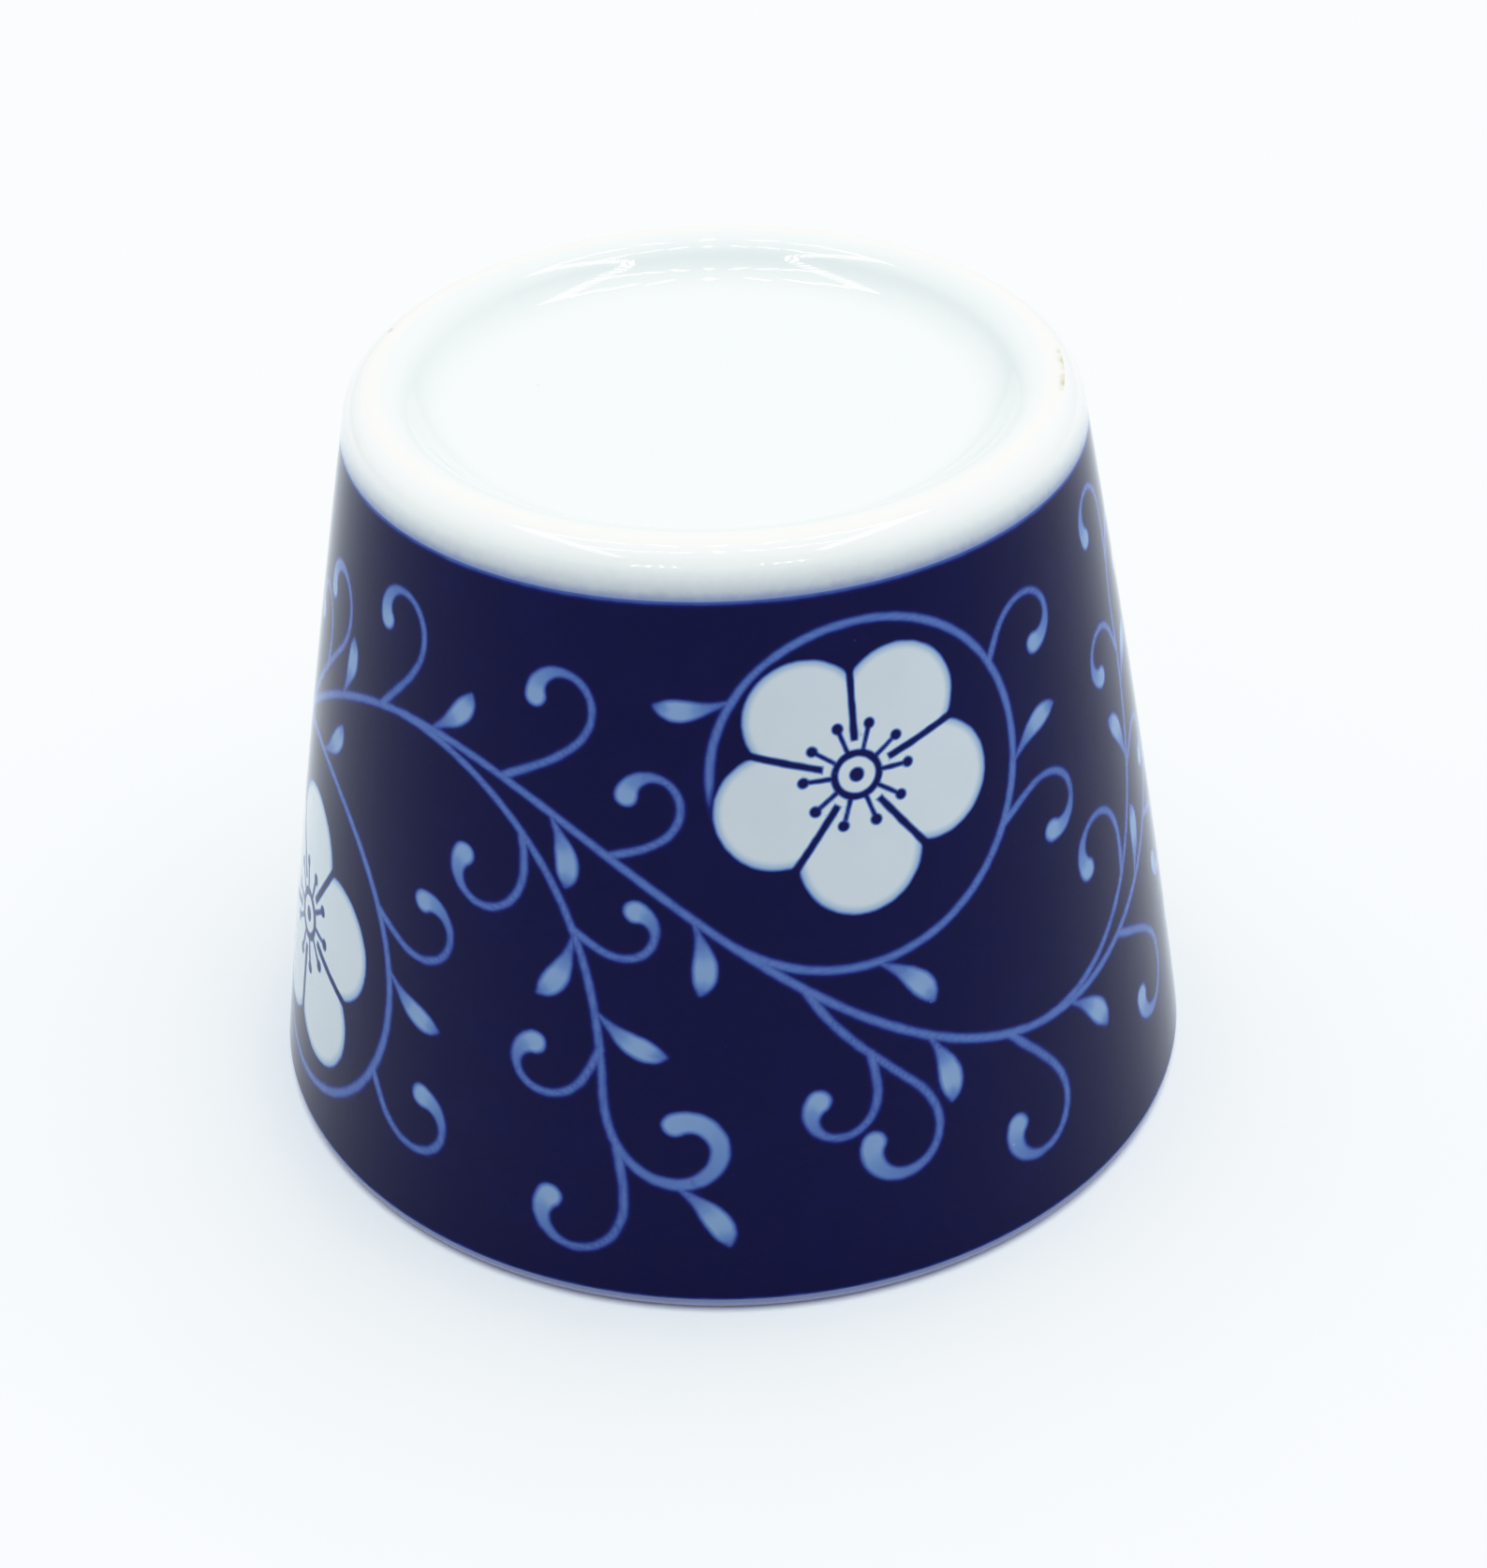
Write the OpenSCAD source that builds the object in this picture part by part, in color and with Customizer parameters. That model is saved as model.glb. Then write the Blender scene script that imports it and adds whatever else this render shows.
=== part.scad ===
// Soba choko: a small tapered porcelain cup, standing mouth down on its rim.
// The origin is the centre of the rim plane and +Z runs up through the foot. Millimetres.

/* [Cup] */
// Outer diameter of the wall's side, taken down to the rim plane
rim_d = 82; // [72:0.5:96]
// Outer diameter of the wall's side, taken up to the foot's crest
foot_d = 58.8; // [52:0.2:68]
// Height from the rim to the foot's crest
height = 64.6; // [54:0.2:80]
// How far the wall's side bulges past a straight taper at mid height
wall_bow = 0.42; // [0:0.02:1]

/* [Wall and floor] */
// Wall thickness at the lip
lip_t = 3; // [2.4:0.1:4]
// Wall thickness where the inside floor begins
wall_t = 4.4; // [3.4:0.1:6]
// Radius of the lip's two edges
lip_round = 1.1; // [0.6:0.1:1.6]
// Thickness of the floor under the recess
floor_t = 4.2; // [3:0.1:6]
// Radius of the inside corner between wall and floor
inner_round = 9; // [4:0.5:12]

/* [Foot] */
// Width of the foot ring at its crest, from the wall's side to the recess
ring_w = 4.1; // [3.4:0.1:5.5]
// Radius of the foot's outer shoulder
shoulder_round = 2.6; // [1.6:0.1:4]
// Radius of the crest's inner edge
crest_round = 3.4; // [2:0.1:4]
// Depth of the recess inside the foot ring
recess_depth = 3.1; // [2:0.1:4.5]
// Width of the sloping side of the recess
slope_w = 2.7; // [2:0.1:4.5]
// Radius where the recess's side meets its floor
recess_round = 4.9; // [3:0.1:6.5]

/* [Glaze] */
// Thickness of the glaze and of the glazed blue layer
glaze_t = 0.3; // [0.2:0.05:0.45]
// Height of the white shoulder, from the edge of the blue to the crest
shoulder_h = 3.7; // [3:0.1:6]
// Height of the pale line at the lip
lip_line_h = 1.3; // [1.2:0.1:2.5]
// How far the bare crest runs out onto the shoulder
bare_out = 0.9; // [0.4:0.1:1.2]
// How far the bare crest runs in over the recess's side
bare_in = 0.9; // [0.4:0.1:1.2]

/* [Hidden] */
$fn = 180;

rim_r = rim_d / 2;
foot_r = foot_d / 2;
crest_in_r = foot_r - ring_w;
recess_r = crest_in_r - slope_w;
recess_z = height - recess_depth;
floor_z = recess_z - floor_t;
band_top = height - shoulder_h;

// Number of straight steps that draw the bowed side, and each rounded corner
bow_steps = 8;
arc_steps = 12;
// Room that the section and the cutting regions run past the cup
past = 5;
// Flat that is always left on the lip, on the crest and on the recess's side
least_flat = 0.3;
// Smallest radius of a rounded edge under the glaze
least_round = 0.05;

// Radius of the outer side at a height, without its bow and with it
function taper_r(z) = rim_r + (foot_r - rim_r) * z / height;
function side_r(z) = taper_r(z) + 4 * wall_bow * z / height * (1 - z / height);
// Radius at the middle of the wall's thickness at a height
function middle_r(z) = side_r(z) - (lip_t + (wall_t - lip_t) * z / height) / 2;

mouth_r = rim_r - lip_t;
inner_floor_r = side_r(floor_z) - wall_t;

// The edges' radii, held to what the lip, the crest and the recess's side can carry
side_lean = atan((rim_r - foot_r) / height);
slope_lean = atan(recess_depth / slope_w);
slope_len = norm([slope_w, recess_depth]);
lip_edge_r = min(lip_round, (lip_t - least_flat) / 2);
slope_share = min(1, (slope_len - least_flat) / ((crest_round + recess_round) * tan(slope_lean / 2)));
crest_edge_r = crest_round * slope_share;
recess_edge_r = recess_round * slope_share;
crest_edge_run = crest_edge_r * tan(slope_lean / 2);
shoulder_run = min(shoulder_round * tan((90 - side_lean) / 2), ring_w - crest_edge_run - least_flat);
shoulder_r = shoulder_run / tan((90 - side_lean) / 2);

// The two edges of the bare crest
bare_out_r = foot_r - shoulder_run + bare_out;
bare_in_r = crest_in_r + crest_edge_run - bare_in;

// Half section of the glazed cup, anticlockwise from the lip's outer edge: each corner and its radius.
// It runs past the axis, where it is cut off.
section = concat(
    [[[rim_r, 0], lip_edge_r]],
    [for (i = [1 : bow_steps - 1]) let (z = height * i / bow_steps) [[side_r(z), z], 0]],
    [
        [[foot_r, height], shoulder_r],
        [[crest_in_r, height], crest_edge_r],
        [[recess_r, recess_z], recess_edge_r],
        [[-past, recess_z], 0],
        [[-past, floor_z], 0],
        [[inner_floor_r, floor_z], inner_round],
        [[mouth_r, 0], lip_edge_r]
    ]
);

function unit(v) = v / norm(v);
function cross2(u, v) = u[0] * v[1] - u[1] * v[0];
function turned(v, angle) = [v[0] * cos(angle) - v[1] * sin(angle), v[0] * sin(angle) + v[1] * cos(angle)];

function corner(s, i) = s[(i + len(s)) % len(s)][0];
// Direction of the side that leaves corner i, and its inward normal
function side(s, i) = unit(corner(s, i + 1) - corner(s, i));
function inward(s, i) = turned(side(s, i), 90);
// Angle that the outline turns by at corner i, positive where the corner stands out
function turn(s, i) = atan2(cross2(side(s, i - 1), side(s, i)), side(s, i - 1) * side(s, i));

// A corner's radius once its sides are moved inward by t, and the whole section moved so
function inset_round(s, i, t) = turn(s, i) > 0 ? max(s[i][1] - t, least_round) : s[i][1] + t;
function inset(s, t) = [
    for (i = [0 : len(s) - 1])
        let (a = inward(s, i - 1), b = inward(s, i))
        [corner(s, i) + (a + b) * t / (1 + a * b), s[i][1] == 0 ? 0 : inset_round(s, i, t)]
];

// The points of the arc that rounds corner i, which meets both sides without a kink
function arc_points(s, i) =
    let (
        angle = turn(s, i),
        radius = s[i][1] * sign(angle),
        normal = inward(s, i - 1),
        start = corner(s, i) - side(s, i - 1) * radius * tan(angle / 2),
        centre = start + normal * radius
    )
    [for (k = [0 : arc_steps]) centre - turned(normal, angle * k / arc_steps) * radius];

// A section with its corners rounded
module rounded(s) {
    polygon([for (i = [0 : len(s) - 1]) each s[i][1] == 0 ? [corner(s, i)] : arc_points(s, i)]);
}

// The part of the glaze's thickness that lies in a region of the half section
module glaze_in(region) {
    intersection() {
        polygon(region);
        difference() {
            rounded(section);
            rounded(inset(section, glaze_t));
        }
    }
}

module cobalt_section() {
    glaze_in([
        [middle_r(lip_line_h), lip_line_h],
        [rim_r + past, lip_line_h],
        [rim_r + past, band_top],
        [middle_r(band_top), band_top]
    ]);
}

module shoulder_section() {
    glaze_in([
        [bare_out_r, band_top],
        [rim_r, band_top],
        [rim_r, height + past],
        [bare_out_r, height + past]
    ]);
}

module base_section() {
    low = recess_z - floor_t / 2;
    glaze_in([[0, low], [bare_in_r, low], [bare_in_r, height + past], [0, height + past]]);
}

module inner_section() {
    high = recess_z - floor_t / 2;
    glaze_in([[0, lip_line_h], [middle_r(lip_line_h), lip_line_h], [middle_r(high), high], [0, high]]);
}

module body_section() {
    difference() {
        rounded(section);
        translate([-2 * past, -past]) square([2 * past, height + 2 * past]);
        cobalt_section();
        shoulder_section();
        base_section();
        inner_section();
    }
}

module porcelain_body() {
    color("#f3f1ea") rotate_extrude() body_section();
}

module cobalt_band() {
    color("#171b45") rotate_extrude() cobalt_section();
}

module shoulder_glaze() {
    color("#f3f7f7") rotate_extrude() shoulder_section();
}

module base_glaze() {
    color("#f6f9fb") rotate_extrude() base_section();
}

module inner_glaze() {
    color("#f4f7f8") rotate_extrude() inner_section();
}

porcelain_body();
cobalt_band();
shoulder_glaze();
base_glaze();
inner_glaze();
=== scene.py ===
"""Looks of the soba choko cup: glazed porcelain, a cobalt wall with a flower scroll, and the studio."""

import math

import bpy
import numpy as np
from mathutils import Matrix, Vector
from mathutils.geometry import delaunay_2d_cdt


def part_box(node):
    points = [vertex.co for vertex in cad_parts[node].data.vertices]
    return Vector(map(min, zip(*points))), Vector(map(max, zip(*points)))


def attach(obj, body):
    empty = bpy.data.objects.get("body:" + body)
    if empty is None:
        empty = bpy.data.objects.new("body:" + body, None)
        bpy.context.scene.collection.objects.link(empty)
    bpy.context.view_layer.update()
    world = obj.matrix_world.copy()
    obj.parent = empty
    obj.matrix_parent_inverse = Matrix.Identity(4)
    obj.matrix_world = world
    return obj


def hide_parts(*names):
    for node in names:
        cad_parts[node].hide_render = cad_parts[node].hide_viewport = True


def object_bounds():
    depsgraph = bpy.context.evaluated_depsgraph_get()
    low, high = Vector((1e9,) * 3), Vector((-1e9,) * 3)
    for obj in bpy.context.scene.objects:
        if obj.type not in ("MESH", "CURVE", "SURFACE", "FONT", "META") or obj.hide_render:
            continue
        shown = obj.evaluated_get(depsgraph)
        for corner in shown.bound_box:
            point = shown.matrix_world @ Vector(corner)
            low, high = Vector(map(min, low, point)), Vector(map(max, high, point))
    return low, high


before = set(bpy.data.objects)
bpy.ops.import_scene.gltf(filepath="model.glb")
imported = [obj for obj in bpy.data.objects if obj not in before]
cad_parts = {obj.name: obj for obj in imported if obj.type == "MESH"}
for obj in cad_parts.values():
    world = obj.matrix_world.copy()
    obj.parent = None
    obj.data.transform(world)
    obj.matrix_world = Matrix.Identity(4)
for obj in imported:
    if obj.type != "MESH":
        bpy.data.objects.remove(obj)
cad_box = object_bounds()

MM = 0.001
RADIUS, HEIGHT = 0, 1
UP, DOWN = math.pi / 2, -math.pi / 2

# Sizes of the section that the nodes' boxes don't give, as in the solids
GLAZE_T = 0.3 * MM
LIP_T = 3.0 * MM
WALL_T = 4.4 * MM
LIP_ROUND = 1.1 * MM
INNER_ROUND = 9.0 * MM
RING_W = 4.1 * MM
SHOULDER_ROUND = 2.6 * MM
CREST_ROUND = 3.4 * MM
SLOPE_W = 2.7 * MM
RECESS_ROUND = 4.9 * MM

# Points of a rounded corner and of the bowed side, and columns round the cup
ARC_POINTS = 33
SIDE_POINTS = 61
COLUMNS = 320
# Faces that meet at more than this angle have a sharp edge
SHARP_ANGLE = math.radians(40)
# Lengths below this count as nothing
TINY = 1e-7
# Least cosine between the outward direction and the normal of a face on the wall's outer side
FACES_OUT = 0.9
UV_MAP = "OFBake"


# The cup's section, read from the frame

def ring_points(node, outward=False):
    """Radius and height of a CAD node's vertices, or of those on faces that look away from the axis."""
    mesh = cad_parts[node].data
    kept = range(len(mesh.vertices))
    if outward:
        faces = [f for f in mesh.polygons if f.normal.xy.dot(f.center.xy.normalized()) > FACES_OUT]
        kept = sorted({i for f in faces for i in f.vertices})
    places = [mesh.vertices[i].co for i in kept]
    return np.array([(p.xy.length, p.z) for p in places])


crest_z = cad_box[1].z
band_low, band_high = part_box("cobalt_band")
lip_line_z, band_top_z = band_low.z, band_high.z
recess_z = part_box("base_glaze")[0].z + GLAZE_T
floor_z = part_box("inner_glaze")[1].z - GLAZE_T
bare_in_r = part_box("base_glaze")[1].x
bare_out_r = ring_points("shoulder_glaze")[:, RADIUS].min()

side_rings = ring_points("cobalt_band", outward=True)
side_curve = np.polynomial.Polynomial.fit(side_rings[:, HEIGHT], side_rings[:, RADIUS], 2).convert()
side_slope = side_curve.deriv()


def side_normal(z):
    """Outward normal of the outer side at a height, as (radial, upward)."""
    slope = side_slope(z)
    return np.array([1.0, -slope]) / math.hypot(1.0, slope)


# Heights where the bowed side passes into the shoulder and into the lip's outer edge
side_top_z = crest_z - SHOULDER_ROUND * (1 - side_normal(crest_z)[1])
side_low_z = LIP_ROUND * (1 + side_normal(0.0)[1])


def arc(centre, radius, start, end, hollow=False):
    """Rows of radius, height and outward normal along a rounded corner, between two angles in radians."""
    angles = np.linspace(start, end, ARC_POINTS)
    out = np.column_stack([np.cos(angles), np.sin(angles)])
    return np.hstack([np.array(centre) + radius * out, -out if hollow else out])


def foot_rows():
    """The recess's side, the crest and the shoulder."""
    crest_in_r = side_curve(crest_z) - RING_W
    recess_r = crest_in_r - SLOPE_W
    lean = math.atan2(crest_z - recess_z, SLOPE_W)
    half_lean = math.tan(lean / 2)
    recess_at = (recess_r - RECESS_ROUND * half_lean, recess_z + RECESS_ROUND)
    recess = arc(recess_at, RECESS_ROUND, DOWN, DOWN + lean, hollow=True)
    crest_at = (crest_in_r + CREST_ROUND * half_lean, crest_z - CREST_ROUND)
    crest = arc(crest_at, CREST_ROUND, UP + lean, UP)
    out, rise = side_normal(side_top_z)
    shoulder_at = (side_curve(side_top_z) - SHOULDER_ROUND * out, crest_z - SHOULDER_ROUND)
    shoulder = arc(shoulder_at, SHOULDER_ROUND, UP, math.atan2(rise, out))
    return np.vstack([recess, crest, shoulder])


def wall_rows():
    """The bowed outer side and the lip's outer edge."""
    heights = np.linspace(side_top_z, side_low_z, SIDE_POINTS)[1:-1]
    side = np.array([[side_curve(z), z, *side_normal(z)] for z in heights])
    out, rise = side_normal(side_low_z)
    lip_at = (side_curve(side_low_z) - LIP_ROUND * out, LIP_ROUND)
    lip = arc(lip_at, LIP_ROUND, math.atan2(rise, out), DOWN)
    return np.vstack([side, lip])


def inside_rows():
    """The lip's inner edge, the inner side and the rounded corner of the inside floor."""
    mouth_r = side_curve(0.0) - LIP_T
    inner_floor_r = side_curve(floor_z) - WALL_T
    lean = math.atan2(mouth_r - inner_floor_r, floor_z)
    out, rise = math.cos(lean), math.sin(lean)

    def inner_r(z):
        return mouth_r + (inner_floor_r - mouth_r) * z / floor_z

    lip_at = (inner_r(LIP_ROUND * (1 - rise)) + LIP_ROUND * out, LIP_ROUND)
    lip = arc(lip_at, LIP_ROUND, DOWN, lean - math.pi)
    corner_at = (inner_r(floor_z - INNER_ROUND * (1 - rise)) - INNER_ROUND * out, floor_z - INNER_ROUND)
    corner = arc(corner_at, INNER_ROUND, lean, UP, hollow=True)
    return np.vstack([lip, corner])


# The half section from the recess's middle over foot, side and lip to the inside floor's middle, and the
# length along it up to each row
recess_middle, floor_middle = [[0, recess_z, 0, 1]], [[0, floor_z, 0, -1]]
section = np.vstack([recess_middle, foot_rows(), wall_rows(), inside_rows(), floor_middle])
section_s = np.concatenate([[0], np.cumsum(np.linalg.norm(np.diff(section[:, :2], axis=0), axis=1))])


def crossing(column, value, after):
    """Length along the section where, after another length, the radius or height first passes a value."""
    past = section[:, column] - value
    for i in range(1, len(section)):
        if section_s[i] > after and past[i - 1] * past[i] <= 0 and past[i - 1] != past[i]:
            share = past[i - 1] / (past[i - 1] - past[i])
            return section_s[i - 1] + (section_s[i] - section_s[i - 1]) * share
    raise ValueError("the section never passes that value")


bare_in_s = crossing(RADIUS, bare_in_r, 0)
bare_out_s = crossing(RADIUS, bare_out_r, bare_in_s)
band_top_s = crossing(HEIGHT, band_top_z, bare_out_s)
lip_out_s = crossing(HEIGHT, lip_line_z, band_top_s)
lip_in_s = crossing(HEIGHT, lip_line_z, lip_out_s + LIP_T / 2)
end_s = section_s[-1]


def stretch(start, end, sunk=0.0):
    """Points of the section between two lengths along it, moved inward by sunk."""
    inside = section_s[(section_s > start + TINY) & (section_s < end - TINY)]
    s = np.concatenate([[start], inside, [end]])
    rows = np.column_stack([np.interp(s, section_s, section[:, k]) for k in range(4)])
    normals = rows[:, 2:] / np.linalg.norm(rows[:, 2:], axis=1)[:, None]
    points = rows[:, :2] - sunk * normals
    points[:, RADIUS] = np.maximum(points[:, RADIUS], 0)
    return points


def skin_loop(start, end):
    """The loop of a glaze: its face, then its underside back."""
    return np.vstack([stretch(start, end), stretch(start, end, GLAZE_T)[::-1]])


# Meshes

def new_piece(mesh, material, node):
    """A piece that stands for a CAD node."""
    piece = bpy.data.objects.new(mesh.name, mesh)
    bpy.context.scene.collection.objects.link(piece)
    mesh.materials.append(material)
    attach(piece, "root")
    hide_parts(node)


def smooth_mesh(name, places, faces, corners):
    """A smooth mesh, with each face corner's place in the map for baking."""
    mesh = bpy.data.meshes.new(name)
    mesh.from_pydata(places, [], faces)
    uv = mesh.uv_layers.new(name=UV_MAP)
    uv.data.foreach_set("uv", np.array(corners, np.float32).ravel())
    mesh.shade_smooth()
    return mesh


def lathe(name, loop):
    """A closed solid of revolution about Z from a loop of (radius, height) points."""
    angles = np.arange(COLUMNS) * 2 * math.pi / COLUMNS
    turned = np.column_stack([np.cos(angles), np.sin(angles)])
    places, rings = [], []
    for r, z in loop:
        first = len(places)
        if r < TINY:
            places.append((0.0, 0.0, z))
            rings.append([first] * COLUMNS)
        else:
            places.extend((r * c, r * s, z) for c, s in turned)
            rings.append(list(range(first, first + COLUMNS)))
    steps = np.linalg.norm(np.diff(np.vstack([loop, loop[:1]]), axis=0), axis=1)
    starts_on_axis = loop[0][RADIUS] < TINY
    if starts_on_axis:
        steps = steps[:-1]
    v = np.concatenate([[0], np.cumsum(steps)]) / steps.sum()
    faces, corners = [], []
    for i in range(len(steps)):
        low, high = rings[i], rings[(i + 1) % len(rings)]
        v0, v1 = v[i], v[i + 1]
        for j in range(COLUMNS):
            k = (j + 1) % COLUMNS
            u0, u1 = j / COLUMNS, (j + 1) / COLUMNS
            quad = [(low[j], (u0, v0)), (high[j], (u0, v1)), (high[k], (u1, v1)), (low[k], (u1, v0))]
            kept = [c for n, c in enumerate(quad) if c[0] != quad[n - 1][0]]
            faces.append([c[0] for c in kept])
            corners.extend(c[1] for c in kept)
    mesh = smooth_mesh(name, places, faces, corners)
    mesh.set_sharp_from_angle(angle=SHARP_ANGLE)
    return mesh


# The flower scroll, drawn on the unrolled wall in millimetres at the wall's middle radius

REPEATS = 2
# Steps along a stroke, points of a volute, and points of the wall's side as it is unrolled
STROKE_STEP = 0.15
VOLUTE_POINTS = 700
BAND_POINTS = 2001
# A line's width
LINE_W = 0.85
# A hook: how much it thins on its way, where its round tip begins, what the tip adds, and how that swells
HOOK_THINS = 0.12
TIP_START, TIP_W, TIP_SWELL = 0.72, 1.15, 1.5
# A leaf: its stalk's width, what its widest place adds, and how far past its middle that lies
LEAF_STALK, LEAF_W, LEAF_SKEW = 0.45, 1.55, 1.9
# The stem's wave, and the volute that turns inward round each flower
STEM_RISE = 14.0
VOLUTE_OUT, VOLUTE_IN = 17.3, 11.5
VOLUTE_TURN = math.radians(338)
# A flower: its petals and core, then the dark seams, ring, threads, dots and heart, lines by half their width
PETALS = 5
PETAL_AT, PETAL_R, BLOOM_CORE = 7.0, 5.2, 4.6
SEAM_START, SEAM_HALF = 3.0, 0.28
RING_R, RING_HALF = 1.9, 0.28
THREAD_AT, THREAD_REACH, THREAD_HALF = 3.1, 1.1, 0.16
DOT_AT, DOT_R = 4.5, 0.45
HEART_R = 0.6
# How far past a stroke's and a flower's edge distances are worked out, and what stands for any farther one
STROKE_MARGIN = 1.2
FLOWER_MARGIN = 1.0
FAR = 3.0

# What leaves a line: the share of the line's length there, the side, the turn away from it, and the new
# line's stretches, each (length, first bend, last bend)
LEFT, RIGHT = 1, -1
TENDRIL = (0.45, RIGHT, 0.05, [(38, 0.07, 0.015), (8, -0.05, -0.2), (12, -0.2, -0.5)])
SPRAY = (0.10, LEFT, 0.5, [(13, -0.07, 0.02), (14, 0.12, 0.5)])
VOLUTE_HOOKS = [
    (0.28, LEFT, 0.5, [(4, -0.04, 0.1), (11, 0.2, 0.5)]),
    (0.45, LEFT, 0.9, [(3, 0.0, 0.1), (12, 0.18, 0.5)]),
]
TENDRIL_HOOKS = [
    (0.27, RIGHT, 0.6, [(3, 0.0, 0.1), (12, 0.15, 0.5)]),
    (0.42, LEFT, 0.6, [(3, 0.0, 0.1), (8, 0.26, 0.6)]),
    (0.60, RIGHT, 0.5, [(3, 0.0, 0.1), (10, 0.2, 0.6)]),
    (0.74, RIGHT, 0.4, [(5, -0.05, 0.1), (12, 0.15, 0.5)]),
]
SPRAY_HOOKS = [
    (0.3, LEFT, 0.6, [(3, 0.0, 0.1), (10, 0.2, 0.6)]),
]
STEM_HOOKS = [
    (0.40, LEFT, 0.65, [(7, -0.06, 0.1), (13, 0.15, 0.5)]),
    (0.66, LEFT, 0.9, [(8, -0.04, 0.1), (12, 0.18, 0.5)]),
    (0.83, LEFT, 0.9, [(4, -0.02, 0.1), (11, 0.2, 0.55)]),
]
LEAF_TURN, LEAF_BENDS = 0.6, [(6.6, 0.0, 0.22)]
VOLUTE_LEAVES = [(0.12, LEFT), (0.335, LEFT), (0.80, LEFT)]
TENDRIL_LEAVES = [(0.43, RIGHT), (0.54, LEFT), (0.83, RIGHT)]
STEM_LEAVES = [(0.27, LEFT), (0.52, LEFT), (0.74, RIGHT), (0.95, RIGHT)]

# The wall is unrolled so that the scroll keeps its shapes: its height is the sum of short lengths of the
# side, each over the radius there
band_z = np.linspace(lip_line_z, band_top_z, BAND_POINTS)
band_r = side_curve(band_z)
slant = np.hypot(1.0, side_slope(band_z)) / band_r
band_tau = np.concatenate([[0], np.cumsum((slant[1:] + slant[:-1]) / 2 * np.diff(band_z))])
middle_r = (band_r[0] + band_r[-1]) / 2
period = 2 * math.pi * middle_r / MM / REPEATS
half = period / 2
tall = band_tau[-1] * middle_r / MM


def sweep(x, y, heading, bends):
    """A curve of stretches, each (length, first bend, last bend), as rows of x, y and heading."""
    rows = [(x, y, heading)]
    for length, first, last in bends:
        steps = max(2, round(length / STROKE_STEP))
        step = length / steps
        for n in range(steps):
            middle = heading + (first + (last - first) * n / steps) * step / 2
            x += math.cos(middle) * step
            y += math.sin(middle) * step
            heading += (first + (last - first) * (n + 0.5) / steps) * step
            rows.append((x, y, heading))
    return np.array(rows)


def line_width(t):
    return np.full_like(t, LINE_W)


def hook_width(t):
    """A line that swells to a round tip."""
    tip = np.clip((t - TIP_START) / (1 - TIP_START), 0, 1) ** TIP_SWELL
    return LINE_W * (1 - HOOK_THINS * np.sin(math.pi * t)) + TIP_W * tip


def leaf_width(t):
    """A drop: thin at its stalk, widest past its middle, and pointed."""
    return LEAF_STALK + LEAF_W * np.sin(math.pi * t**LEAF_SKEW)


class Scroll:
    """Strokes and flowers of one repeat: a wave of stem whose two halves mirror each other."""

    def __init__(self):
        self.strokes = []
        self.flowers = []
        self.flipped = False
        self.draw_half()
        self.flipped = True
        self.draw_half()

    def placed(self, x, y):
        return (x + half, -y) if self.flipped else (x, y)

    def stroke(self, rows, width):
        x, y = self.placed(rows[:, 0], rows[:, 1])
        self.strokes.append((x, y, width(np.linspace(0, 1, len(rows)))))
        return rows

    def branch(self, line, share, side, turn, bends, width=hook_width):
        """A stroke that leaves another one at a share of its length, to its left or right."""
        x, y, heading = line[int(share * (len(line) - 1))]
        bends = [(length, side * first, side * last) for length, first, last in bends]
        return self.stroke(sweep(x, y, heading + side * turn, bends), width)

    def stem(self):
        x = np.arange(0, half, STROKE_STEP)
        wave = math.pi / half
        heading = np.arctan(STEM_RISE * wave * np.cos(wave * x))
        return self.stroke(np.column_stack([x, STEM_RISE * np.sin(wave * x), heading]), line_width)

    def volute(self, heading):
        """The line that leaves the stem's start and winds inward round a flower."""
        start = heading + math.pi / 2
        centre = -VOLUTE_OUT * np.array([math.cos(start), math.sin(start)])
        share = np.linspace(0, 1, VOLUTE_POINTS)
        angle = start - VOLUTE_TURN * share
        reach = VOLUTE_OUT + (VOLUTE_IN - VOLUTE_OUT) * share
        x, y = centre[0] + reach * np.cos(angle), centre[1] + reach * np.sin(angle)
        self.flowers.append((*self.placed(*centre), -1 if self.flipped else 1))
        return self.stroke(np.column_stack([x, y, angle - math.pi / 2]), line_width)

    def draw_half(self):
        stem = self.stem()
        volute = self.volute(stem[0][2])
        tendril = self.branch(stem, *TENDRIL)
        spray = self.branch(stem, *SPRAY)
        dressed = [
            (volute, VOLUTE_HOOKS, VOLUTE_LEAVES),
            (tendril, TENDRIL_HOOKS, TENDRIL_LEAVES),
            (spray, SPRAY_HOOKS, []),
            (stem, STEM_HOOKS, STEM_LEAVES),
        ]
        for line, hooks, leaves in dressed:
            for hook in hooks:
                self.branch(line, *hook)
            for share, side in leaves:
                self.branch(line, share, side, LEAF_TURN, LEAF_BENDS, leaf_width)


# The grid on which the scroll is worked out: its columns all round the wall, and rows up it
FINE_COLUMNS = 1280
FINE_ROWS = 352

grid_columns = FINE_COLUMNS // REPEATS
pitch_x, pitch_y = period / grid_columns, tall / FINE_ROWS
grid_x = np.arange(grid_columns) * pitch_x
grid_y = np.arange(FINE_ROWS + 1) * pitch_y - tall / 2


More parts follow.
